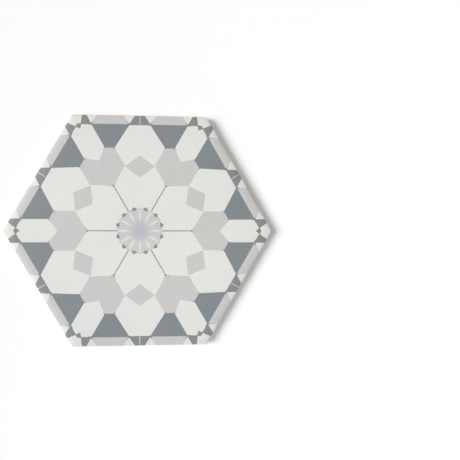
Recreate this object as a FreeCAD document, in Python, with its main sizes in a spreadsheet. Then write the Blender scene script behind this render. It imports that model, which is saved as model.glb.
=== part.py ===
import FreeCAD, Part
import math
import os

import Sketcher

# Hexagon floor tile, one pressed and fired piece.
#
# Frame: origin at the centre of the flat back, +Z up through the decorated
# face. Two corners of the hexagon lie on the X axis, so two of its sides are
# parallel to X. All lengths are millimetres.

doc = FreeCAD.newDocument("hexagon_floor_tile")

# ---------------------------------------------------------------- dimensions
sheet = doc.addObject("Spreadsheet::Sheet", "dims")
sheet.Label = "dims"

# alias, value, what it is
DIMENSIONS = [
    ("across_flats", 200.0, "side to opposite side, over the flat flanks"),
    ("thickness", 9.0, "back to the flat middle of the face"),
    ("corner_round", 1.2, "radius of the six upright corners"),
    ("cushion_width", 5.5, "width of the softly falling edge of the face"),
    ("cushion_radius", 20.0, "radius of that edge's cross-section"),
    ("rim_round", 0.7, "small radius where the face turns into the flank"),
    ("back_bevel", 0.5, "bevel round the back edge"),
    ("clear_outside", 4.0, "how far the edge cutter runs past the flank"),
    ("clear_above", 3.0, "how far the edge cutter runs above the face"),
    ("cutter_length", 260.0, "length of the edge cutter, past both corners"),
]
for row, (alias, value, note) in enumerate(DIMENSIONS, start=1):
    sheet.set("A%d" % row, alias)
    sheet.set("B%d" % row, "%g" % value)
    sheet.setAlias("B%d" % row, alias)
    sheet.set("C%d" % row, note)
doc.recompute()

DIM = {alias: value for alias, value, note in DIMENSIONS}


def origin_plane(body, role):
    """The body's own origin plane with the given role."""
    for feature in body.Origin.OriginFeatures:
        if feature.Role == role:
            return feature
    raise RuntimeError("no origin feature " + role)


def new_sketch(body, name, role):
    """A sketch on one of the body's own origin planes."""
    sketch = body.newObject("Sketcher::SketchObject", name)
    sketch.AttachmentSupport = (origin_plane(body, role), [""])
    sketch.MapMode = "FlatFace"
    return sketch


def bind(sketch, index, name, expression):
    """Name a sketch dimension and tie it to the sheet."""
    sketch.renameConstraint(index, name)
    sketch.setExpression("Constraints." + name, expression)


# ---------------------------------------------------------------- the tile
body = doc.addObject("PartDesign::Body", "hexagon_tile")
body.Label = "hexagon_tile"

# Outline: a regular hexagon, corners on a circle, one corner on +X.
outline = new_sketch(body, "outline", "XY_Plane")
corner_circle = DIM["across_flats"] / 2.0 / math.cos(math.radians(30.0))
corners = [
    FreeCAD.Vector(
        corner_circle * math.cos(math.radians(60.0 * i)),
        corner_circle * math.sin(math.radians(60.0 * i)),
        0.0,
    )
    for i in range(6)
]
for i in range(6):
    outline.addGeometry(
        Part.LineSegment(corners[i], corners[(i + 1) % 6]), False
    )
circle = outline.addGeometry(
    Part.Circle(FreeCAD.Vector(0, 0, 0), FreeCAD.Vector(0, 0, 1), corner_circle),
    True,
)
for i in range(6):
    outline.addConstraint(
        Sketcher.Constraint("Coincident", i, 2, (i + 1) % 6, 1)
    )
outline.addConstraint(Sketcher.Constraint("Coincident", circle, 3, -1, 1))
for i in range(6):
    outline.addConstraint(Sketcher.Constraint("PointOnObject", i, 1, circle))
for i in range(1, 6):
    outline.addConstraint(Sketcher.Constraint("Equal", 0, i))
outline.addConstraint(Sketcher.Constraint("PointOnObject", 0, 1, -1))
index = outline.addConstraint(
    Sketcher.Constraint("Diameter", circle, 2.0 * corner_circle)
)
bind(outline, index, "across_corners", "dims.across_flats / cos(30 deg)")

# Body of the tile: the outline raised to full thickness.
slab = body.newObject("PartDesign::Pad", "slab")
slab.Profile = outline
slab.setExpression("Length", "dims.thickness")
doc.recompute()

# The six upright corners are a little round, as pressed clay comes out.
upright = []
for number, edge in enumerate(slab.Shape.Edges, start=1):
    first, last = edge.Vertexes[0].Point, edge.Vertexes[-1].Point
    if abs(first.x - last.x) < 1e-6 and abs(first.y - last.y) < 1e-6:
        upright.append("Edge%d" % number)
corner_fillet = body.newObject("PartDesign::Fillet", "corner_round")
corner_fillet.Base = (slab, upright)
corner_fillet.setExpression("Radius", "dims.corner_round")
doc.recompute()

# Narrow bevel round the back, where the tile leaves the press.
back_edges = []
for number, edge in enumerate(corner_fillet.Shape.Edges, start=1):
    if edge.BoundBox.ZMax < 1e-6:
        back_edges.append("Edge%d" % number)
back_bevel = body.newObject("PartDesign::Chamfer", "back_bevel")
back_bevel.Base = (corner_fillet, back_edges)
back_bevel.setExpression("Size", "dims.back_bevel")
doc.recompute()

# Cushion edge: the face falls away towards each side along a wide arc and
# turns into the flank with a small one. The profile is drawn square to the
# side that faces +Y and cut along its whole length, then repeated six times,
# so the falling edges meet in mitres that run into the corners.
apothem = DIM["across_flats"] / 2.0
top = DIM["thickness"]
wide = DIM["cushion_radius"]
small = DIM["rim_round"]
start_y = apothem - DIM["cushion_width"]
wide_centre = (start_y, top - wide)
small_centre_y = apothem - small
small_centre_z = (
    top
    - wide
    + math.sqrt((wide - small) ** 2 - (small_centre_y - start_y) ** 2)
)
angle = math.atan2(
    small_centre_z - wide_centre[1], small_centre_y - wide_centre[0]
)
outer_y = apothem + DIM["clear_outside"]
upper_z = top + DIM["clear_above"]

edge_profile = new_sketch(body, "cushion_profile", "YZ_Plane")


def point(y, z):
    return FreeCAD.Vector(y, z, 0.0)


normal = FreeCAD.Vector(0, 0, 1)
wide_arc = edge_profile.addGeometry(
    Part.ArcOfCircle(
        Part.Circle(point(*wide_centre), normal, wide), angle, math.pi / 2
    ),
    False,
)
small_arc = edge_profile.addGeometry(
    Part.ArcOfCircle(
        Part.Circle(point(small_centre_y, small_centre_z), normal, small),
        0.0,
        angle,
    ),
    False,
)
shelf = edge_profile.addGeometry(
    Part.LineSegment(
        point(apothem, small_centre_z), point(outer_y, small_centre_z)
    ),
    False,
)
outside = edge_profile.addGeometry(
    Part.LineSegment(point(outer_y, small_centre_z), point(outer_y, upper_z)),
    False,
)
above = edge_profile.addGeometry(
    Part.LineSegment(point(outer_y, upper_z), point(start_y, upper_z)), False
)
inside = edge_profile.addGeometry(
    Part.LineSegment(point(start_y, upper_z), point(start_y, top)), False
)
rules = [
    ("Tangent", wide_arc, 1, small_arc, 2),
    ("Coincident", small_arc, 1, shelf, 1),
    ("Coincident", shelf, 2, outside, 1),
    ("Coincident", outside, 2, above, 1),
    ("Coincident", above, 2, inside, 1),
    ("Coincident", inside, 2, wide_arc, 2),
    ("Horizontal", shelf),
    ("Vertical", outside),
    ("Horizontal", above),
    ("Vertical", inside),
    # The wide arc starts level: its centre is straight below its start.
    ("Vertical", wide_arc, 2, wide_arc, 3),
    # The small arc ends upright: its centre is level with its end.
    ("Horizontal", small_arc, 1, small_arc, 3),
]
for rule in rules:
    edge_profile.addConstraint(Sketcher.Constraint(*rule))
for name, rule, expression in [
    ("cushion_radius", ("Radius", wide_arc, wide), "dims.cushion_radius"),
    ("rim_round", ("Radius", small_arc, small), "dims.rim_round"),
    (
        "cushion_start",
        ("DistanceX", -1, 1, inside, 2, start_y),
        "dims.across_flats / 2 - dims.cushion_width",
    ),
    (
        "face_level",
        ("DistanceY", -1, 1, inside, 2, top),
        "dims.thickness",
    ),
    (
        "flank",
        ("DistanceX", -1, 1, small_arc, 1, apothem),
        "dims.across_flats / 2",
    ),
    (
        "clear_outside",
        ("DistanceX", shelf, 1, shelf, 2, DIM["clear_outside"]),
        "dims.clear_outside",
    ),
    (
        "clear_above",
        ("DistanceY", inside, 2, inside, 1, DIM["clear_above"]),
        "dims.clear_above",
    ),
]:
    index = edge_profile.addConstraint(Sketcher.Constraint(*rule))
    bind(edge_profile, index, name, expression)
doc.recompute()

before_cushion = back_bevel.Shape.Volume
cushion = body.newObject("PartDesign::Pocket", "cushion_edge")
cushion.Profile = edge_profile
cushion.Type = 0
cushion.Midplane = True
cushion.setExpression("Length", "dims.cutter_length")
doc.recompute()
one_side = before_cushion - cushion.Shape.Volume

around = body.newObject("PartDesign::PolarPattern", "cushion_edges")
around.Originals = [cushion]
for feature in body.Origin.OriginFeatures:
    if feature.Role == "Z_Axis":
        around.Axis = (feature, [""])
around.Angle = 360.0
around.Occurrences = 6
body.Tip = around
body.Placement = FreeCAD.Placement()
doc.recompute()
six_sides = before_cushion - around.Shape.Volume

# ---------------------------------------------------------------- checks
faults = []
for item in doc.Objects:
    if "Invalid" in item.State or "Error" in item.State:
        faults.append("%s: %s" % (item.Name, item.State))
for sketch in (outline, edge_profile):
    if sketch.solve() != 0:
        faults.append("%s does not solve" % sketch.Name)
subparts = [body]
for item in subparts:
    if item.Shape.isNull() or not item.Shape.isValid():
        faults.append("%s: shape is null or not valid" % item.Label)
    elif len(item.Shape.Solids) != 1:
        faults.append("%s: %d solids" % (item.Label, len(item.Shape.Solids)))
if one_side < 50.0 or six_sides < 5.0 * one_side:
    faults.append("the cushion edge cut too little: %g, %g" % (one_side, six_sides))
if faults:
    raise RuntimeError("; ".join(faults))

box = body.Shape.BoundBox
print(
    "hexagon_tile: %.3f x %.3f x %.3f mm, volume %.1f mm3, %d faces, edge cut %.1f mm3"
    % (
        box.XLength,
        box.YLength,
        box.ZLength,
        body.Shape.Volume,
        len(body.Shape.Faces),
        six_sides,
    )
)

# ---------------------------------------------------------------- output
os.makedirs("parts", exist_ok=True)
for item in subparts:
    item.Shape.exportStep("parts/%s.step" % item.Label)
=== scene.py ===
import math

import bpy
import numpy as np
from mathutils import Matrix, Vector
from mathutils.geometry import delaunay_2d_cdt
from mathutils.kdtree import KDTree


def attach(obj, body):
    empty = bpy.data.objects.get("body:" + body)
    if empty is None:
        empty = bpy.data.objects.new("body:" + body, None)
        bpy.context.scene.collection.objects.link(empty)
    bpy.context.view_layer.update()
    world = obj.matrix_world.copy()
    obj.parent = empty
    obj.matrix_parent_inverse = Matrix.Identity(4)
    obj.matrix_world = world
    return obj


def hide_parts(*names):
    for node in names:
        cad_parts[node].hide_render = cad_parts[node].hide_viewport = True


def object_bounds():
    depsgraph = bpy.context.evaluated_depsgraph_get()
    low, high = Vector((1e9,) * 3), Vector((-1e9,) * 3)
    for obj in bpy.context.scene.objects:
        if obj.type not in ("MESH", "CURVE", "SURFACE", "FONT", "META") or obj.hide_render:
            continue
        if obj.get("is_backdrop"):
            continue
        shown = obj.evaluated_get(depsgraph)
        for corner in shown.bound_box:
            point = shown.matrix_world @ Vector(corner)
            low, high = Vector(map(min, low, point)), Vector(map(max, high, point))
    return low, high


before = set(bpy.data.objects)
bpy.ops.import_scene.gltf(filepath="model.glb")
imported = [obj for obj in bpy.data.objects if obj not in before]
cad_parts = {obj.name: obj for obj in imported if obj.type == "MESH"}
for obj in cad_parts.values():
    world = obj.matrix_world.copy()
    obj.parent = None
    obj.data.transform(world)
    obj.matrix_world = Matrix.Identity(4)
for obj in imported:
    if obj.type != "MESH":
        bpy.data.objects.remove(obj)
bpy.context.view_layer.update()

# ---------------------------------------------------------------------------
# Hexagon floor tile. Lengths below are in millimetres, in the frame of the
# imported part: z = 0 is the back, the face is up, two corners are on the X
# axis. Meshes are scaled to metres when they are made.
# ---------------------------------------------------------------------------
APOTHEM = 100.0        # centre to flank
THICK = 9.0
CORNER = 1.2           # radius of the upright corners
CUSHION_W = 5.5        # width of the falling edge of the face
CUSHION_R = 20.0
RIM_R = 0.7
BEVEL = 0.5
UNIT = 100.0 / 1.0017  # one unit of the pattern's drawing

RIM_Z = THICK - CUSHION_R + math.sqrt(
    (CUSHION_R - RIM_R) ** 2 - (CUSHION_W - RIM_R) ** 2
)
RIM_A = math.atan2(RIM_Z - (THICK - CUSHION_R), CUSHION_W - RIM_R)
RIM_D = RIM_R * (1.0 - math.cos(RIM_A))   # where the rim's arc meets the cushion

SIDE_N = [
    np.array([math.cos(math.radians(30 + 60 * k)), math.sin(math.radians(30 + 60 * k))])
    for k in range(6)
]
CORNER_C = [
    (APOTHEM - CORNER)
    / math.cos(math.radians(30))
    * np.array([math.cos(math.radians(60 * k)), math.sin(math.radians(60 * k))])
    for k in range(6)
]


def smooth(a, b, x):
    t = min(1.0, max(0.0, (x - a) / (b - a)))
    return t * t * (3 - 2 * t)


def outward(p):
    """Distance in from the rounded outline, and the outline's normal nearest p."""
    d = [APOTHEM - float(n @ p) for n in SIDE_N]
    k = int(np.argmin(d))
    for c in CORNER_C:
        v = p - c
        length = float(np.hypot(*v))
        if length > 1e-9 and float(v @ c) / (length * float(np.hypot(*c))) > math.cos(
            math.radians(30.0001)
        ):
            return CORNER - length, v / length
    return d[k], SIDE_N[k]


def face_height(p):
    """Height of the face at p: level, then falling along the cushion edge."""
    d, _ = outward(p)
    if d > CUSHION_W + 3.0:
        return THICK
    every = np.array([APOTHEM - float(n @ p) for n in SIDE_N])
    s = 0.4
    low = every.min()
    soft = low - s * math.log(float(np.exp(-(every - low) / s).sum()))
    w = smooth(RIM_D, 2.0, d)
    d = d * (1 - w) + soft * w
    if d >= CUSHION_W:
        return THICK
    return THICK - CUSHION_R + math.sqrt(
        CUSHION_R ** 2 - (CUSHION_W - max(d, 0.0)) ** 2
    )


# ---------------------------------------------------------------- the pattern
# A six-fold ornament of plain polygons. It is drawn in units of UNIT, with a
# corner of the hexagon on +X, and every shape is turned or mirrored round.


def turned(points, degrees):
    c, s = math.cos(math.radians(degrees)), math.sin(math.radians(degrees))
    return [(c * x - s * y, s * x + c * y) for x, y in points]


def flipped(points):
    return [(x, -y) for x, y in points]


def across_30(points):
    c, s = math.cos(math.radians(60)), math.sin(math.radians(60))
    return [(c * x + s * y, s * x - c * y) for x, y in points]


WHITE, PALE, SLATE, TRIM, INK, POINT, ROSE, RAY, CAP, BISCUIT = range(10)

pattern = []   # (colour, polygon in mm), later ones lie over earlier ones


def add_shape(colour, points, times=6, start=0.0):
    for k in range(times):
        turn = turned(points, start + 360.0 / times * k)
        pattern.append((colour, [(x * UNIT, y * UNIT) for x, y in turn]))


def add_both(colour, points):
    add_shape(colour, points)
    add_shape(colour, flipped(points)[::-1])


# Pale heart between two outer hexagons, on the corner axis.
heart = [(0.4492, 0.0), (0.5550, 0.1717), (0.7308, 0.1710), (0.7722, 0.0999),
         (0.7789, 0.0999), (0.6980, 0.0)]
add_shape(PALE, heart + flipped(heart[1:5])[::-1])
# Pale diamond, on the axis of each side.
diamond = [(0.4004, 0.2312), (0.5488, 0.1685), (0.5682, 0.3281)]
add_shape(PALE, diamond + across_30([diamond[1]]))
# Slate quadrilateral, twelve times.
add_both(SLATE, [(0.7308, 0.1710), (0.7722, 0.0999), (1.0081, 0.1000),
                 (0.8436, 0.3850), (0.8392, 0.3792)])
# Border band: pale trapezoid between two white triangles, twelve times.
add_both(PALE, [(0.8436, 0.3850), (1.0081, 0.1000), (1.0132, 0.1036),
                (1.0511, 0.1854), (0.9365, 0.3781), (0.8481, 0.3829)])
# Slate block in the middle of each side.
block = [(0.8392, 0.3792), (0.8446, 0.3796), (0.8900, 0.4690)]
add_shape(TRIM, block + across_30(block)[::-1])
# Slate quadrilateral beside each corner.
add_both(TRIM, [(0.9950, 0.1000), (1.0081, 0.1000), (1.0132, 0.1036),
                (1.0990, 0.1048), (1.1190, 0.0763), (1.0534, 0.0272),
                (1.0425, 0.0276), (1.0217, 0.0664), (1.0080, 0.0826)])

# Rosette: pale disc, twelve white rays, twelve small caps and dark points.
add_shape(ROSE, [(0.1930 * math.cos(math.radians(a)), 0.1930 * math.sin(math.radians(a)))
                 for a in range(0, 360, 5)], 1)
for k in range(12):
    cap = [(0.1915 + 0.0125 * math.cos(math.radians(a)),
            0.0125 * math.sin(math.radians(a))) for a in range(0, 360, 30)]
    add_shape(CAP, cap, 1, 30.0 * k)
ray = [(0.0840, 0.0), (0.0990, 0.0038), (0.1090, 0.0064), (0.1200, 0.0086),
       (0.1310, 0.0098), (0.1410, 0.0100), (0.1510, 0.0095), (0.1610, 0.0084),
       (0.1750, 0.0060), (0.1885, 0.0)]
add_shape(RAY, ray + flipped(ray[1:-1])[::-1], 12)
point = [(0.2130, 0.0), (0.2020, 0.0119), (0.1910, 0.0257), (0.1838, 0.0153),
         (0.1780, 0.0)]
add_shape(POINT, point + flipped(point[1:-1])[::-1], 12, 15.0)

# Fine ink lines between the inner petals, with a knot at their outer ends.
line = [(0.2000, 0.0045), (0.4512, 0.0035)]
add_shape(INK, line + flipped(line)[::-1])
knot = [(0.4356, 0.0), (0.4542, 0.0), (0.4644, 0.0233), (0.4614, 0.0263),
        (0.4536, 0.0085), (0.4380, 0.0049)]
add_both(INK, knot)
# Small dark diamond where the border crosses each corner axis, joined by its
# upper and lower ends to the slate shapes.
gem = [(1.0136, 0.0), (1.0347, 0.0155), (1.0439, 0.0283), (1.0490, 0.0288),
       (1.0592, 0.0138), (1.0656, 0.0)]
add_shape(INK, gem + flipped(gem[1:5])[::-1])
# Short spurs of ink that run out from the slate shapes' corners, and the ink
# that fills the corners where those shapes meet.
add_both(INK, [(0.7336, 0.1735), (0.7351, 0.1628), (0.7187, 0.1713),
               (0.6888, 0.1770), (0.7077, 0.1742)])
add_both(INK, [(0.7685, 0.1062), (0.7733, 0.1040), (0.7830, 0.0992),
               (0.7768, 0.0968), (0.7700, 0.0885), (0.7652, 0.0812),
               (0.7640, 0.0835), (0.7684, 0.0915), (0.7694, 0.0990)])
add_both(INK, [(0.8285, 0.3985), (0.8363, 0.3799), (0.8385, 0.3720),
               (0.8440, 0.3780), (0.8533, 0.3690), (0.8550, 0.3820),
               (0.8517, 0.3881), (0.8480, 0.3930), (0.8425, 0.3850)])
add_both(INK, [(0.8546, 0.3785), (0.8583, 0.3769), (0.8662, 0.3755),
               (0.8776, 0.3816), (0.8667, 0.3833), (0.8545, 0.3828)])
add_both(INK, [(0.9990, 0.1050), (1.0081, 0.1000), (1.0132, 0.1020),
               (1.0175, 0.1030), (1.0091, 0.1094), (1.0053, 0.1155),
               (0.9985, 0.1155)])
add_both(INK, [(1.0062, 0.1140), (1.0084, 0.1104), (1.0163, 0.1209),
               (1.0129, 0.1338), (1.0100, 0.1242)])
# Thin pale line across the slate block.
add_shape(WHITE, turned([(0.9245, -0.0025), (0.9245, 0.0025), (0.9985, 0.0025),
                         (0.9985, -0.0025)], 30))


def inside(points, p):
    """True if p lies in the convex or concave polygon."""
    hit = False
    x, y = p
    x1, y1 = points[-1]
    for x2, y2 in points:
        if (y1 > y) != (y2 > y) and x < (x2 - x1) * (y - y1) / (y2 - y1) + x1:
            hit = not hit
        x1, y1 = x2, y2
    return hit


boxes = [
    (min(x for x, y in pts), max(x for x, y in pts),
     min(y for x, y in pts), max(y for x, y in pts))
    for colour, pts in pattern
]


def colour_at(p):
    found = WHITE
    for (colour, pts), (x0, x1, y0, y1) in zip(pattern, boxes):
        if x0 <= p[0] <= x1 and y0 <= p[1] <= y1 and inside(pts, p):
            found = colour
    return found


# ---------------------------------------------------------------- mesh helpers
def loop_at(d, step=3.0):
    """The rounded outline, moved in by d, as points in order."""
    points = []
    r = CORNER - d
    apothem = APOTHEM - d
    sharp = apothem / math.cos(math.radians(30))
    for k in range(6):
        axis = math.radians(60 * k)
        if r > 1e-6:
            for j in range(-4, 5):
                a = axis + math.radians(30) * j / 4
                points.append(CORNER_C[k] + r * np.array([math.cos(a), math.sin(a)]))
        else:
            points.append(sharp * np.array([math.cos(axis), math.sin(axis)]))
        start = points[-1]
        after = math.radians(60 * (k + 1))
        if r > 1e-6:
            a = after - math.radians(30)
            end = CORNER_C[(k + 1) % 6] + r * np.array([math.cos(a), math.sin(a)])
        else:
            end = sharp * np.array([math.cos(after), math.sin(after)])
        # Points stand square to the side, at the same stations on every loop.
        n = SIDE_N[k]
        t = np.array([-n[1], n[0]])
        stations = np.arange(-57.0, 57.01, step)
        low, high = float(start @ t), float(end @ t)
        for s in stations:
            if low + 0.6 < s < high - 0.6:
                points.append(n * apothem + t * s)
    return points


def clip_segment(a, b, d):
    """The part of segment ab inside the outline moved in by d, or None."""
    sides = [(n, APOTHEM - d) for n in SIDE_N]
    r = CORNER - d
    if r > 0:
        # The rounded corners, as the chords between their arc points.
        for k in range(6):
            arc = [
                CORNER_C[k]
                + r
                * np.array([
                    math.cos(math.radians(60 * k + 30 * j / 4.0)),
                    math.sin(math.radians(60 * k + 30 * j / 4.0)),
                ])
                for j in range(-4, 5)
            ]
            for p, q in zip(arc[:-1], arc[1:]):
                n = np.array([q[1] - p[1], p[0] - q[0]])
                n = n / np.hypot(*n)
                sides.append((n, float(n @ p)))
    t0, t1 = 0.0, 1.0
    v = b - a
    for n, limit in sides:
        dist, speed = limit - float(n @ a), float(n @ v)
        if abs(speed) < 1e-12:
            if dist < -1e-9:
                return None
            continue
        t = dist / speed
        if speed > 0:
            t1 = min(t1, t)
        else:
            t0 = max(t0, t)
    if t1 - t0 < 1e-6:
        return None
    return a + t0 * v, a + t1 * v


def triangulate(points, segments, near=4e-3):
    """Triangles inside the outermost segments, and each point's first input.

    Points nearer than near are one point, before and after the cut.
    """
    known, remap, kept = {}, [], []
    for index, (x, y) in enumerate(points):
        key = (round(float(x) / near), round(float(y) / near))
        found = None
        for i in (-1, 0, 1):
            for j in (-1, 0, 1):
                for other in known.get((key[0] + i, key[1] + j), ()):
                    if math.hypot(kept[other][0] - x, kept[other][1] - y) < near:
                        found = other
        if found is None:
            found = len(kept)
            kept.append((float(x), float(y)))
            known.setdefault(key, []).append(found)
        remap.append(found)
    first = {}
    for index, to in enumerate(remap):
        first.setdefault(to, index)
    cut = sorted({
        (min(remap[a], remap[b]), max(remap[a], remap[b]))
        for a, b in segments if remap[a] != remap[b]
    })
    verts, _, faces, origin, *_ = delaunay_2d_cdt(
        [Vector(p) for p in kept], cut, [], 1, 1e-5
    )
    tree = KDTree(len(verts))
    for i, v in enumerate(verts):
        tree.insert((v.x, v.y, 0.0), i)
    tree.balance()
    to = list(range(len(verts)))
    for i, v in enumerate(verts):
        if to[i] != i:
            continue
        for _, j, _ in tree.find_range((v.x, v.y, 0.0), near):
            if j > i and to[j] == j:
                to[j] = i
    used = sorted({to[i] for f in faces for i in f})
    index = {old: new for new, old in enumerate(used)}
    came = {}
    for i, o in enumerate(origin):
        if o and index.get(to[i]) is not None:
            source = min(first[k] for k in o)
            came[index[to[i]]] = min(source, came.get(index[to[i]], source))
    tris = []
    for f in faces:
        g = [index[to[i]] for i in f]
        if len(set(g)) == 3:
            tris.append(g)
    return (
        [np.array([verts[i].x, verts[i].y]) for i in used],
        tris,
        [came.get(i, -1) for i in range(len(used))],
    )


def rim_of(faces):
    """The outer loop of a triangulation, counter-clockwise."""
    seen = {}
    for f in faces:
        for i in range(len(f)):
            seen[(f[i], f[(i + 1) % len(f)])] = True
    follow = {a: b for (a, b) in seen if (b, a) not in seen}
    first = next(iter(follow))
    loop = [first]
    while follow[loop[-1]] != first:
        loop.append(follow[loop[-1]])
    return loop


def mend(verts, faces, flat=2e-3):
    """Triangles, all counter-clockwise, with no needles left among them.

    A needle's long edge is turned to the far corner of the triangle across it.
    On the outline there is none across, and the needle is left out.
    """
    faces = [list(f) for f in faces]
    total = sum(
        verts[a][0] * (verts[b][1] - verts[c][1]) for a, b, c in faces
    ) + sum(verts[b][0] * (verts[c][1] - verts[a][1]) for a, b, c in faces) + sum(
        verts[c][0] * (verts[a][1] - verts[b][1]) for a, b, c in faces
    )
    if total < 0:
        faces = [f[::-1] for f in faces]
    owner = {}
    for i, f in enumerate(faces):
        for k in range(3):
            owner[(f[k], f[(k + 1) % 3])] = i
    for _ in range(12):
        changed = 0
        for i, f in enumerate(faces):
            if f is None:
                continue
            sides = [
                float(np.hypot(*(verts[f[(k + 1) % 3]] - verts[f[k]]))) for k in range(3)
            ]
            k = int(np.argmax(sides))
            a, b, c = f[k], f[(k + 1) % 3], f[(k + 2) % 3]
            u, v = verts[b] - verts[a], verts[c] - verts[a]
            if (u[0] * v[1] - u[1] * v[0]) / sides[k] > flat:
                continue
            j = owner.get((b, a))
            for pair in ((a, b), (b, c), (c, a)):
                owner.pop(pair, None)
            changed += 1
            if j is None:
                faces[i] = None
                continue
            d = next(x for x in faces[j] if x not in (a, b))
            for pair in ((b, a), (a, d), (d, b)):
                owner.pop(pair, None)
            if d == c:      # two needles back to back
                faces[i] = faces[j] = None
                continue
            faces[i], faces[j] = [a, d, c], [d, b, c]
            for at in (i, j):
                g = faces[at]
                for m in range(3):
                    owner[(g[m], g[(m + 1) % 3])] = at
        if not changed:
            break
    return [f for f in faces if f is not None]


# ---------------------------------------------------------------- the face
points, segments = [], []


def add_chain(chain, closed=True):
    base = len(points)
    points.extend(chain)
    count = len(chain)
    for i in range(count if closed else count - 1):
        segments.append((base + i, base + (i + 1) % count))


add_chain(loop_at(RIM_D))
for d in (0.8, 1.15, 1.6, 2.1, 2.7, 3.3, 3.9, 4.5, 5.0, 5.5, 6.2):
    add_chain(loop_at(d))
for colour, shape in pattern:
    for i in range(len(shape)):
        got = clip_segment(
            np.array(shape[i]), np.array(shape[(i + 1) % len(shape)]), RIM_D
        )
        if got is not None:
            add_chain(list(got), closed=False)
# A sparse even spread of points keeps the triangles of the level part compact.
for i in range(-12, 13):
    for j in range(-12, 13):
        p = np.array([i * 9.0 + (j % 2) * 4.5, j * 7.794])
        if outward(p)[0] > 8.0:
            points.append(p)

face_xy, face_tris, _ = triangulate(points, segments)
face_tris = mend(face_xy, face_tris)
rim_loop = rim_of(face_tris)

verts = [(p[0], p[1], face_height(p)) for p in face_xy]
faces = [list(f) for f in face_tris]
colours = []
for f in face_tris:
    colours.append(colour_at(sum(face_xy[i] for i in f) / len(f)))
top_count = len(faces)

# Colour of the face along its outer loop, edge by edge.
edge_colour = {}
for f, colour in zip(face_tris, colours):
    for i in range(len(f)):
        edge_colour[(f[i], f[(i + 1) % len(f)])] = colour

# ---------------------------------------------------------------- the flank
# One column of points below each point of the outer loop: round the rim,
# down the flank, over the back bevel.
columns = []
base_points, normals = [], []
for index in rim_loop:
    p = face_xy[index]
    d, n = outward(p)
    base_points.append(p + n * d)
    normals.append(n)
rows = []
for j in range(1, 7):
    a = RIM_A * (1 - j / 6.0)
    rows.append((RIM_R * (1 - math.cos(a)), RIM_Z + RIM_R * math.sin(a)))
for z in (7.2, 6.6, 6.0, 5.2, 4.4, 3.6, 2.8, 2.0, 1.2, BEVEL):
    rows.append((0.0, z))
rows.append((BEVEL * 0.35, BEVEL * 0.55))
rows.append((BEVEL, 0.0))
# The print reaches over the rim, then plain glaze, then bare clay.
PRINT_ROWS, RIM_ROWS = 4, 6
for d, z in rows:
    row = []
    for q, n in zip(base_points, normals):
        r = q - n * d
        row.append(len(verts))
        verts.append((r[0], r[1], z))
    columns.append(row)
side_faces = []   # (face, row, column)
previous = rim_loop
for level, row in enumerate(columns):
    count = len(row)
    for i in range(count):
        j = (i + 1) % count
        face = [previous[i], row[i], row[j], previous[j]]
        side_faces.append((len(faces), level, i))
        faces.append(face)
        if level < PRINT_ROWS:
            colours.append(edge_colour[(rim_loop[i], rim_loop[j])])
        elif level < RIM_ROWS:
            colours.append(WHITE)
        else:
            colours.append(BISCUIT)
    previous = row
back_loop = columns[-1]

# ---------------------------------------------------------------- the back
# Plain back with shallow straight keying grooves, ending short of the edge.
GROOVE_PITCH, GROOVE_TOP, GROOVE_BOTTOM, GROOVE_DEEP = 12.0, 3.2, 1.8, 0.5
back_points = [np.array([verts[i][0], verts[i][1]]) for i in back_loop]
back_segments = [(i, (i + 1) % len(back_points)) for i in range(len(back_points))]
loop_count = len(back_points)
deep = set()


def add_back(chain, is_deep):
    base = len(back_points)
    back_points.extend(chain)
    for i in range(len(chain)):
        back_segments.append((base + i, base + (i + 1) % len(chain)))


def slot_outline(y, half, half_length, end):
    """A groove's outline with rounded ends."""
    out = []
    for sign in (1, -1):
        for j in range(0, 7):
            a = math.radians(-90 + 30 * j)
            out.append(np.array([
                sign * (half_length + end * math.cos(a)),
                y + sign * end * math.sin(a) * half / end,
            ]))
    return out


grooves = []
for k in range(-7, 7):
    y = (k + 0.5) * GROOVE_PITCH
    reach = (APOTHEM - 9.0 - abs(y) * 0.5) / math.cos(math.radians(30))
    if abs(y) > APOTHEM - 11.0:
        continue
    half_length = reach - GROOVE_TOP
    grooves.append((y, half_length))
    add_back(slot_outline(y, GROOVE_TOP / 2, half_length, GROOVE_TOP / 2), False)
    add_back(slot_outline(y, GROOVE_BOTTOM / 2, half_length, GROOVE_BOTTOM / 2), True)


def back_height(p):
    """Depth of the groove at p, from its distance to the groove's middle line."""
    for y, half_length in grooves:
        dy = abs(p[1] - y)
        if dy < GROOVE_TOP:
            dx = max(0.0, abs(p[0]) - half_length)
            r = math.hypot(dx, dy)
            if r <= GROOVE_BOTTOM / 2 + 0.02:
                return GROOVE_DEEP
            if r < GROOVE_TOP / 2 - 0.02:
                return GROOVE_DEEP * (GROOVE_TOP / 2 - r) / (GROOVE_TOP / 2 - GROOVE_BOTTOM / 2)
    return 0.0


back_xy, back_tris, back_from = triangulate(back_points, back_segments, 1e-4)
back_tris = mend(back_xy, back_tris, 1e-5)
back_rim = rim_of(back_tris)
if len(back_rim) != loop_count:
    raise RuntimeError("the back's outline was cut: %d, %d" % (len(back_rim), loop_count))
new_index = {}
for i, p in enumerate(back_xy):
    if 0 <= back_from[i] < loop_count:
        new_index[i] = back_loop[back_from[i]]
    else:
        new_index[i] = len(verts)
        verts.append((float(p[0]), float(p[1]), back_height(p)))
back_start = len(faces)
for f in back_tris:
    faces.append([new_index[i] for i in f[::-1]])
    colours.append(BISCUIT)

# ---------------------------------------------------------------- one mesh
MM = 0.001
mesh = bpy.data.meshes.new("glazed_hexagon_tile")
mesh.from_pydata([(x * MM, y * MM, z * MM) for x, y, z in verts], [], faces)
mesh.update()
tile = bpy.data.objects.new("glazed_hexagon_tile", mesh)
bpy.context.scene.collection.objects.link(tile)

# Each connected region of one colour is a piece of its own on the map, so the
# edges of the print are as crisp as the mesh. The large pieces keep their places
# on the face, moved a little apart; the small ones lie on a tray beside the back.
region = list(range(top_count))


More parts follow.
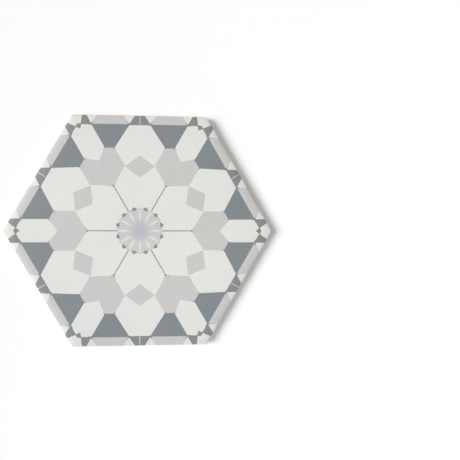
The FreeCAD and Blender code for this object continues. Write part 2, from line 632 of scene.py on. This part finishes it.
def region_of(i):
    while region[i] != i:
        region[i] = region[region[i]]
        i = region[i]
    return i


def at_tip(i):
    """True for the glaze outside the small dark diamond, at a corner."""
    p = sum(face_xy[v] for v in face_tris[i]) / 3
    for c in CORNER_C:
        along, across = float(p @ c) / np.hypot(*c), abs(p[0] * c[1] - p[1] * c[0])
        if along > 1.0453 * UNIT and across / np.hypot(*c) < 8.5:
            return colours[i] == WHITE
    return False


beside = {}
for i, f in enumerate(face_tris):
    for k in range(3):
        beside[(f[k], f[(k + 1) % 3])] = i
for (a, b), i in beside.items():
    j = beside.get((b, a))
    if j is not None and colours[i] == colours[j] and at_tip(i) == at_tip(j):
        region[region_of(i)] = region_of(j)

pieces = {}        # region: [area, centre times area, points, on the outer loop]
for i, f in enumerate(face_tris):
    p, q, r = (face_xy[v] for v in f)
    area = ((q[0] - p[0]) * (r[1] - p[1]) - (q[1] - p[1]) * (r[0] - p[0])) / 2
    piece = pieces.setdefault(region_of(i), [0.0, np.zeros(2), set(), False])
    piece[0] += area
    piece[1] = piece[1] + area * (p + q + r) / 3
    piece[2].update(f)
for i in range(len(rim_loop)):
    edge = (rim_loop[i], rim_loop[(i + 1) % len(rim_loop)])
    pieces[region_of(beside[edge])][3] = True

rim_length = [0.0]          # arc length from the outer loop down to each row
last = (RIM_D, RIM_Z + RIM_R * math.sin(RIM_A))
for d, z in rows:
    rim_length.append(rim_length[-1] + math.hypot(d - last[0], z - last[1]))
    last = (d, z)

PX = 1024.0
FACE_PX, TRAY_PX, BACK_PX, GAP, GUTTER = 3.40, 5.1, 1.34, 7.0, 4.0
SPREAD = 0.07
SMALL, MIDDLING = 26.0, 300.0       # mm2
FLANK_ROW = PRINT_ROWS      # the flank's strips start at this row of points
face_mid = (GAP + 123.6 * FACE_PX, GAP + 107.5 * FACE_PX)
back_mid = (GAP + 116.0 * BACK_PX, PX - GAP - 100.5 * BACK_PX)
strip_x0 = 2 * GAP + 247.2 * FACE_PX
STRIP_W = 9.0 * FACE_PX
STRIP_L = 118.0 * FACE_PX

laid = {}                   # region: (turn, moved by, pixels a millimetre, place)
tray = []
for key, (area, centre, used, outer) in pieces.items():
    centre = centre / area
    # The pale diamonds stand inside the white, and can't be moved off it.
    diamond = colours[key] == PALE and area < MIDDLING and not outer
    if area > SMALL and not diamond:
        laid[key] = (np.eye(2), centre * SPREAD, FACE_PX, np.array(face_mid))
        continue
    scale = FACE_PX if diamond else TRAY_PX
    c, s = centre / np.hypot(*centre)
    turn = np.array([[c, s], [-s, c]])
    q = np.array([turn @ face_xy[v] for v in sorted(used)])
    low, high = q.min(0), q.max(0)
    if outer:
        high[0] += rim_length[FLANK_ROW] + 0.02
    size = (high - low) * scale
    tray.append((-round(float(size[1]), 1), -round(float(size[0]), 1), key,
                 turn, low, scale, size))
tray.sort(key=lambda t: t[:3])
tray_x0, tray_x1 = back_mid[0] + 116.0 * BACK_PX + GAP, strip_x0 - GAP
at = np.array([tray_x0, 2 * GAP + 2 * 107.5 * FACE_PX])
shelf = 0.0
for _, _, key, turn, low, scale, size in tray:
    if at[0] + size[0] > tray_x1:
        at = np.array([tray_x0, at[1] + shelf + GUTTER])
        shelf = 0.0
    laid[key] = (turn, -low, scale, at.copy())
    at[0] += size[0] + GUTTER
    shelf = max(shelf, size[1])
if at[1] + shelf > PX - GAP:
    raise RuntimeError("the tray of small pieces is too full: %g" % (at[1] + shelf))


def face_uv(key, x, y):
    turn, moved, scale, place = laid[key]
    q = (turn @ np.array([x, y]) + moved) * scale + place
    return (q[0] / PX, q[1] / PX)


def back_uv(x, y):
    return ((back_mid[0] - x * BACK_PX) / PX, (back_mid[1] + y * BACK_PX) / PX)


def strip_uv(side, along, length):
    column, row = side % 4, side // 4
    x = strip_x0 + column * (STRIP_W + GAP) + (length - rim_length[FLANK_ROW]) * FACE_PX
    y = GAP + row * (STRIP_L + GAP) + (along + 59.0) * FACE_PX
    return (x / PX, y / PX)


uv_layer = mesh.uv_layers.new(name="OFBake")
uv = uv_layer.data
side_of_face = {index: (level, column) for index, level, column in side_faces}
loop_total = len(rim_loop)
for polygon in mesh.polygons:
    f = polygon.index
    if f < top_count:
        for li, vi in zip(polygon.loop_indices, polygon.vertices):
            uv[li].uv = face_uv(region_of(f), verts[vi][0], verts[vi][1])
    elif f >= back_start:
        for li, vi in zip(polygon.loop_indices, polygon.vertices):
            uv[li].uv = back_uv(verts[vi][0], verts[vi][1])
    else:
        level, i = side_of_face[f]
        j = (i + 1) % loop_total
        corners = [(i, level), (i, level + 1), (j, level + 1), (j, level)]
        # The seams of the strips run down the middle of the corners.
        middle = (base_points[i] + base_points[j]) / 2
        k = int((math.degrees(math.atan2(middle[1], middle[0])) % 360.0) // 60.0) % 6
        t = np.array([-SIDE_N[k][1], SIDE_N[k][0]])
        owner = region_of(beside[(rim_loop[i], rim_loop[j])])
        for li, (column, row) in zip(polygon.loop_indices, corners):
            if level < FLANK_ROW:
                p = base_points[column] - normals[column] * (RIM_D - rim_length[row])
                uv[li].uv = face_uv(owner, float(p[0]), float(p[1]))
            else:
                uv[li].uv = strip_uv(
                    k, float(base_points[column] @ t), rim_length[row]
                )

# ---------------------------------------------------------------- materials


def linear(r, g, b):
    """8-bit screen colour to scene-linear."""
    out = []
    for v in (r, g, b):
        v = v / 255.0
        out.append(v / 12.92 if v <= 0.04045 else ((v + 0.055) / 1.055) ** 2.4)
    return tuple(out)


class Nodes:
    """Short names for building one material's node tree."""

    def __init__(self, name):
        self.material = bpy.data.materials.new(name)
        self.material.use_nodes = True
        self.tree = self.material.node_tree
        self.shader = self.tree.nodes["Principled BSDF"]
        self.place = self.new("ShaderNodeTexCoord").outputs["Object"]

    def new(self, kind, **settings):
        node = self.tree.nodes.new(kind)
        for key, value in settings.items():
            setattr(node, key, value)
        return node

    def join(self, a, b):
        self.tree.links.new(a, b)

    def noise(self, scale, detail=2.0, rough=0.5, stretch=None, offset=(0, 0, 0)):
        node = self.new("ShaderNodeTexNoise")
        node.inputs["Scale"].default_value = scale
        node.inputs["Detail"].default_value = detail
        node.inputs["Roughness"].default_value = rough
        mapping = self.new("ShaderNodeMapping")
        mapping.inputs["Scale"].default_value = stretch or (1, 1, 1)
        mapping.inputs["Location"].default_value = offset
        self.join(self.place, mapping.inputs["Vector"])
        self.join(mapping.outputs["Vector"], node.inputs["Vector"])
        return node.outputs["Fac"]

    def cells(self, scale, randomness=1.0):
        node = self.new("ShaderNodeTexVoronoi", feature="F1")
        node.inputs["Scale"].default_value = scale
        node.inputs["Randomness"].default_value = randomness
        self.join(self.place, node.inputs["Vector"])
        return node.outputs["Distance"], node.outputs["Color"]

    def math(self, operation, a, b=None, c=None, clamp=False):
        node = self.new("ShaderNodeMath", operation=operation, use_clamp=clamp)
        for socket, value in zip(node.inputs, (a, b, c)):
            if value is None:
                continue
            if isinstance(value, (int, float)):
                socket.default_value = value
            else:
                self.join(value, socket)
        return node.outputs[0]

    def ramp(self, value, low, high, to_low=0.0, to_high=1.0, smooth=True):
        node = self.new("ShaderNodeMapRange")
        node.interpolation_type = "SMOOTHSTEP" if smooth else "LINEAR"
        for name, number in (("From Min", low), ("From Max", high),
                             ("To Min", to_low), ("To Max", to_high)):
            node.inputs[name].default_value = number
        self.join(value, node.inputs["Value"])
        return node.outputs["Result"]

    def mix(self, factor, a, b, blend="MIX"):
        node = self.new("ShaderNodeMix", data_type="RGBA", blend_type=blend)
        for socket, value in ((node.inputs[0], factor), (node.inputs[6], a),
                              (node.inputs[7], b)):
            if isinstance(value, (int, float)):
                socket.default_value = value
            elif isinstance(value, tuple):
                socket.default_value = (*value, 1.0)
            else:
                self.join(value, socket)
        return node.outputs[2]

    def scaled(self, colour, amount):
        """colour times amount, the same for its three parts."""
        node = self.new("ShaderNodeVectorMath", operation="SCALE")
        if isinstance(colour, tuple):
            node.inputs[0].default_value = colour
        else:
            self.join(colour, node.inputs[0])
        self.join(amount, node.inputs["Scale"])
        return node.outputs[0]

    def bump(self, height, distance, strength=1.0, under=None):
        node = self.new("ShaderNodeBump")
        node.inputs["Strength"].default_value = strength
        node.inputs["Distance"].default_value = distance
        self.join(height, node.inputs["Height"])
        if under is not None:
            self.join(under, node.inputs["Normal"])
        return node.outputs["Normal"]


CLAY = linear(204, 195, 180)


def from_middle(n, parts):
    """Distance from the tile's upright axis."""
    x, y = parts.outputs[0], parts.outputs[1]
    return n.math("SQRT", n.math("ADD", n.math("MULTIPLY", x, x), n.math("MULTIPLY", y, y)))


def glaze_colour(n, colour, grain=0.016, cloud=0.012, hue=0.006, fall=0.0, corner_shade=0.0):
    """Fired print: slow drift of tone and hue, a fine dot grain, a few pin specks.

    Over the rim the glaze is thinner, and a little of the clay shows through.
    fall is how much darker the edge is painted than the middle, a painted shade,
    and the last argument how much more clay colour is mixed in at the six corners,
    a painted shade there too.
    """
    parts = n.new("ShaderNodeSeparateXYZ")
    n.join(n.place, parts.inputs[0])
    clay_mix = n.math(
        "MULTIPLY",
        n.ramp(parts.outputs[2], 0.0080, 0.0085, 1.0, 0.0),
        n.ramp(n.noise(330.0, 2.0), 0.35, 0.65, 0.02, 0.16),
    )
    # Painted shade: more of the clay colour at the six corners, to darken them.
    if corner_shade:
        corner_shade_mask = n.math(
            "MULTIPLY",
            n.ramp(from_middle(n, parts), 0.1060, 0.1130),
            n.ramp(n.noise(260.0, 2.0), 0.35, 0.65, corner_shade * 0.65, corner_shade * 1.35),
        )
        # From here this holds the thin glaze at the rim and the painted corner shade.
        clay_mix = n.math("MAXIMUM", clay_mix, corner_shade_mask)
    colour = n.mix(clay_mix, colour, CLAY)
    # Warmer here, cooler there at random, as the ink took and the kiln drew. On top
    # of that a painted warm light: the side that faces +Y is tinted warmest, most of
    # all along its falling edge.
    edge = n.ramp(parts.outputs[2], 0.00890, 0.00899, 1.0, 0.0)
    hue_drift_and_warm_light = n.math(
        "ADD",
        n.ramp(n.noise(27.0, 2.0), 0.3, 0.7, -hue, hue),
        n.math("MULTIPLY", parts.outputs[1], n.math("MULTIPLY_ADD", edge, 0.115, 0.045)),
    )
    tint = n.new("ShaderNodeCombineXYZ")
    n.join(n.math("ADD", hue_drift_and_warm_light, 1.0), tint.inputs[0])
    tint.inputs[1].default_value = 1.0
    n.join(n.math("SUBTRACT", 1.0, hue_drift_and_warm_light), tint.inputs[2])
    toned = n.new("ShaderNodeVectorMath", operation="MULTIPLY")
    n.join(colour, toned.inputs[0])
    n.join(tint.outputs[0], toned.inputs[1])
    colour = toned.outputs[0]
    drift = n.ramp(n.noise(11.0, 2.0), 0.3, 0.7, 1.0 - cloud, 1.0 + cloud)
    flow = n.ramp(n.noise(150.0, 3.0), 0.25, 0.75, 1.0 - cloud * 0.5, 1.0 + cloud * 0.5)
    mottle = n.ramp(n.noise(700.0, 1.0), 0.3, 0.7, 1.0 - cloud, 1.0 + cloud)
    # Painted shade: the print darkens out towards the edge, and the mottle carries it from here
    # on.
    if fall:
        edge_shade = n.ramp(from_middle(n, parts), 0.065, 0.105, 1.0, 1.0 - fall)
        mottle = n.math("MULTIPLY", mottle, edge_shade)
    dots = n.ramp(n.noise(2600.0, 1.0), 0.3, 0.7, 1.0 - grain, 1.0 + grain)
    distance, shade = n.cells(240.0)
    few = n.math("GREATER_THAN", shade, 0.80)
    speck = n.math(
        "MULTIPLY", n.ramp(distance, 0.035, 0.075, 1.0, 0.0), few
    )
    # The glaze ran a little as it fell away, so the edge is less even.
    uneven = n.math("MULTIPLY", edge, n.ramp(n.noise(900.0, 2.0), 0.3, 0.7, -0.02, 0.02))
    mottle = n.math("ADD", mottle, uneven)
    tone = n.math("MULTIPLY", n.math("MULTIPLY", drift, flow),
                  n.math("MULTIPLY", mottle, dots))
    tone = n.math("MULTIPLY", tone, n.math("SUBTRACT", 1.0, n.math("MULTIPLY", speck, 0.13)))
    return n.scaled(colour, tone)


def glaze_surface(n, rough=0.53):
    """Satin glaze: soft ripple, a fine tooth, and a sheen that varies with both."""
    ripple = n.noise(420.0, 2.0)
    tooth = n.noise(2400.0, 1.0)
    sheen = n.math(
        "ADD",
        n.ramp(n.noise(34.0, 3.0), 0.3, 0.7, rough - 0.030, rough + 0.030),
        n.ramp(tooth, 0.3, 0.7, -0.045, 0.045),
    )
    normal = n.bump(ripple, 0.00006)
    normal = n.bump(tooth, 0.000010, under=normal)
    return sheen, normal


def print_material(name, rgb, rough=0.53, grain=0.016, cloud=0.012, hue=0.006,
                   fall=0.0, corner_shade=0.0):
    n = Nodes(name)
    colour = glaze_colour(n, rgb, grain, cloud, hue, fall, corner_shade)
    sheen, normal = glaze_surface(n, rough)
    n.join(colour, n.shader.inputs["Base Color"])
    n.join(sheen, n.shader.inputs["Roughness"])
    n.join(normal, n.shader.inputs["Normal"])
    n.shader.inputs["IOR"].default_value = 1.5
    return n.material


def rose_material(name, outer, inner):
    """The rosette's disc: the print fades to a cooler, paler middle."""
    n = Nodes(name)
    parts = n.new("ShaderNodeSeparateXYZ")
    n.join(n.place, parts.inputs[0])
    fade = n.ramp(from_middle(n, parts), 2.5 * MM, 11.0 * MM, 1.0, 0.0)
    colour = glaze_colour(n, n.mix(fade, outer, inner))
    sheen, normal = glaze_surface(n)
    n.join(colour, n.shader.inputs["Base Color"])
    n.join(sheen, n.shader.inputs["Roughness"])
    n.join(normal, n.shader.inputs["Normal"])
    n.shader.inputs["IOR"].default_value = 1.5
    return n.material


def biscuit_material(name, glaze, clay):
    """Bare fired clay, with the glaze ending in an uneven lip below the rim."""
    n = Nodes(name)
    parts = n.new("ShaderNodeSeparateXYZ")
    n.join(n.place, parts.inputs[0])
    height = parts.outputs[2]
    # The lip's lower edge wanders by about half a millimetre.
    wander = n.math(
        "ADD",
        n.ramp(n.noise(70.0, 2.0), 0.25, 0.75, -0.00055, 0.00055, smooth=False),
        n.ramp(n.noise(620.0, 1.0), 0.25, 0.75, -0.00016, 0.00016, smooth=False),
    )
    level = n.math("SUBTRACT", height, wander)
    lip = n.ramp(level, 0.00595, 0.00625)
    thin = n.ramp(level, 0.0060, 0.0074, 0.82, 1.0)
    mottle = n.ramp(n.noise(95.0, 4.0, 0.6), 0.3, 0.7, 0.95, 1.05)
    grit = n.ramp(n.noise(1500.0, 2.0), 0.3, 0.7, 0.955, 1.045)
    body = n.scaled(clay, n.math("MULTIPLY", mottle, grit))
    distance, shade = n.cells(420.0)
    dark = n.math("MULTIPLY", n.ramp(distance, 0.06, 0.15, 1.0, 0.0),
                  n.math("GREATER_THAN", shade, 0.72))
    body = n.mix(n.math("MULTIPLY", dark, 0.38), body, linear(122, 112, 98))
    # Pale kiln wash, rubbed along the highest parts of the back by the rollers.
    patch = n.ramp(n.noise(19.0, 3.0, 0.6, offset=(0.31, 0.12, 0.0)), 0.40, 0.66)
    streak = n.ramp(
        n.noise(420.0, 3.0, 0.6, stretch=(0.06, 1.0, 1.0)), 0.40, 0.66, 0.1, 0.85
    )
    dust = n.math(
        "MULTIPLY",
        n.math("MULTIPLY", patch, streak),
        n.ramp(height, 0.00002, 0.0003, 1.0, 0.0),
    )
    body = n.mix(dust, body, linear(226, 222, 214))
    # The glaze skin carries the painted warm light that grows towards +Y.
    skin = glaze_colour(n, glaze)
    clay_mix = n.mix(thin, body, skin)
    colour = n.mix(lip, body, clay_mix)
    n.join(colour, n.shader.inputs["Base Color"])
    sheen, normal = glaze_surface(n)
    rough = n.new("ShaderNodeMix", data_type="FLOAT")
    n.join(lip, rough.inputs[0])
    n.join(
        n.ramp(n.noise(800.0, 2.0), 0.3, 0.7, 0.80, 0.94), rough.inputs[2]
    )
    n.join(sheen, rough.inputs[3])
    n.join(rough.outputs[0], n.shader.inputs["Roughness"])
    coarse = n.math(
        "ADD",
        n.math("MULTIPLY", n.noise(900.0, 3.0), n.ramp(lip, 0.0, 1.0, 1.0, 0.08)),
        n.math("MULTIPLY", lip, 1.6),
    )
    coarse = n.math("SUBTRACT", coarse, n.math("MULTIPLY", dark, 0.5))
    n.join(n.bump(coarse, 0.00009, under=normal), n.shader.inputs["Normal"])
    n.shader.inputs["IOR"].default_value = 1.5
    return n.material


white = linear(224.1, 224.7, 220.9)
pale = linear(197.8, 197.8, 195.8)
# The dark inks: rougher, grainier and less even in hue than the rest.
dark = dict(rough=0.55, grain=0.060, cloud=0.022, hue=0.016)
materials = {
    # The white gets painted shade towards its edge and at its corners, the pale towards its edge.
    WHITE: print_material("white_glaze", white, grain=0.012, cloud=0.010, fall=0.032,
                          corner_shade=0.10),
    PALE: print_material("pale_grey_print", pale, fall=0.014),
    SLATE: print_material("slate_grey_print", linear(125.9, 132.5, 136.1), **dark),
    TRIM: print_material("border_slate_print", linear(130.7, 135.4, 137.1), **dark),
    INK: print_material("fine_dark_line_print", linear(132.5, 133.0, 131.3), **dark),
    POINT: print_material("rosette_point_print", linear(138.5, 138.0, 136.5), **dark),
    ROSE: rose_material("rosette_print", linear(200.2, 200.2, 198.2), linear(183.2, 185.4, 191.2)),
    RAY: print_material("ray_glaze", linear(220.5, 220.3, 218.8), grain=0.012, cloud=0.010),
    CAP: print_material("rosette_cap_print", linear(199.0, 199.0, 197.0)),
    BISCUIT: biscuit_material("fired_clay", white, CLAY),
}
order = sorted(materials)
for key in order:
    mesh.materials.append(materials[key])
for polygon in mesh.polygons:
    polygon.material_index = order.index(colours[polygon.index])
    # The level face, the cushion and the rim are one smooth skin; the flank,
    # the bevel and the back's grooves keep their edges.
    polygon.use_smooth = polygon.index < back_start

# Sharp edges: the bevel's two edges.
sharp_rows = {len(rows) - 3, len(rows) - 1}
sharp_pairs = set()
for level in sharp_rows:
    row = columns[level]
    for i in range(len(row)):
        a, b = row[i], row[(i + 1) % len(row)]
        sharp_pairs.add((min(a, b), max(a, b)))
for edge in mesh.edges:
    a, b = edge.vertices
    edge.use_edge_sharp = (min(a, b), max(a, b)) in sharp_pairs
mesh.update()

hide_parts("hexagon_tile")
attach(tile, "root")

# ---------------------------------------------------------------- the studio
floor_mesh = bpy.data.meshes.new("studio_floor")
size, steps = 24.0, 12
grid_verts = [
    (-size + 2 * size * i / steps, -size + 2 * size * j / steps, -0.00005)
    for j in range(steps + 1)
    for i in range(steps + 1)
]
grid_faces = [
    (j * (steps + 1) + i, j * (steps + 1) + i + 1,
     (j + 1) * (steps + 1) + i + 1, (j + 1) * (steps + 1) + i)
    for j in range(steps)
    for i in range(steps)
]
floor_mesh.from_pydata(grid_verts, [], grid_faces)
floor = bpy.data.objects.new("studio_floor", floor_mesh)
bpy.context.scene.collection.objects.link(floor)
n = Nodes("studio_paper")
tone = n.ramp(n.noise(6.0, 2.0), 0.3, 0.7, 0.978, 0.984)
n.join(n.scaled((1.0, 1.0, 1.0), tone), n.shader.inputs["Base Color"])
n.shader.inputs["Roughness"].default_value = 0.95
n.shader.inputs["Specular IOR Level"].default_value = 0.1
floor_mesh.materials.append(n.material)
floor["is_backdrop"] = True


def aim(obj, place, target):
    obj.location = place
    obj.rotation_mode = "QUATERNION"
    obj.rotation_quaternion = (Vector(target) - Vector(place)).to_track_quat("-Z", "Y")


# A wide soft light from the left and an even white surround. Shares are of the
# light that falls on a level face.
KEY_TILT = math.radians(47.0)
KEY_SHARE, FILL_SHARE = 0.635, 0.080
# The surround is as bright as the floor at its foot, so that the two run into
# one another, and weaker overhead. It gives a level face about a third.
HORIZON, ZENITH = 1.02, 0.250
key = bpy.data.lights.new("soft_key", "SUN")
key.angle = math.radians(34.0)
key.energy = KEY_SHARE * math.pi / math.cos(KEY_TILT)
key_light = bpy.data.objects.new("soft_key", key)
bpy.context.scene.collection.objects.link(key_light)
aim(key_light, (-4.0 * math.sin(KEY_TILT), 0.0, 4.0 * math.cos(KEY_TILT)),
    (0.0, 0.0, 0.0))

# A weak card on the other side, near enough to even out the sheen.
FILL_TILT, FILL_FAR, FILL_SIZE = math.radians(45.0), 0.88, 0.7
fill = bpy.data.lights.new("fill_card", "AREA")
fill.shape = "DISK"
fill.size = FILL_SIZE
fill.energy = (
    FILL_SHARE * math.pi ** 2 * (FILL_FAR ** 2 + (FILL_SIZE / 2) ** 2)
    / math.cos(FILL_TILT)
)
fill_light = bpy.data.objects.new("fill_card", fill)
bpy.context.scene.collection.objects.link(fill_light)
aim(fill_light, (FILL_FAR * math.sin(FILL_TILT) * 0.866,
                 -FILL_FAR * math.sin(FILL_TILT) * 0.5,
                 FILL_FAR * math.cos(FILL_TILT)), (0.0, 0.0, 0.0))

world = bpy.data.worlds.new("white_surround")
world.use_nodes = True
sky = world.node_tree
direction = sky.nodes.new("ShaderNodeTexCoord")
split = sky.nodes.new("ShaderNodeSeparateXYZ")
fall = sky.nodes.new("ShaderNodeMapRange")
fall.interpolation_type = "SMOOTHSTEP"
for name, number in (("From Min", 0.0), ("From Max", 0.5), ("To Min", HORIZON),
                     ("To Max", ZENITH)):
    fall.inputs[name].default_value = number
sky.links.new(direction.outputs["Generated"], split.inputs[0])
sky.links.new(split.outputs[2], fall.inputs["Value"])
background = sky.nodes["Background"]
background.inputs["Color"].default_value = (1.0, 1.0, 1.0, 1.0)
sky.links.new(fall.outputs["Result"], background.inputs["Strength"])
bpy.context.scene.world = world

settings = bpy.context.scene.view_settings
settings.view_transform = "Standard"
settings.look = "None"
settings.exposure = 0.0
settings.gamma = 1.0

camera = bpy.data.cameras.new("camera")
camera.sensor_width = 36.0
camera.lens = 36.0
camera.clip_start, camera.clip_end = 0.02, 50.0
camera.dof.use_dof = False
camera_object = bpy.data.objects.new("camera", camera)
bpy.context.scene.collection.objects.link(camera_object)
camera_object.location = (0.047645, 0.004071, 0.413055)
camera_object.rotation_mode = "XYZ"
camera_object.rotation_euler = [math.radians(a) for a in (-0.4647, -4.36, 0.1329)]
bpy.context.scene.camera = camera_object

low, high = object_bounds()
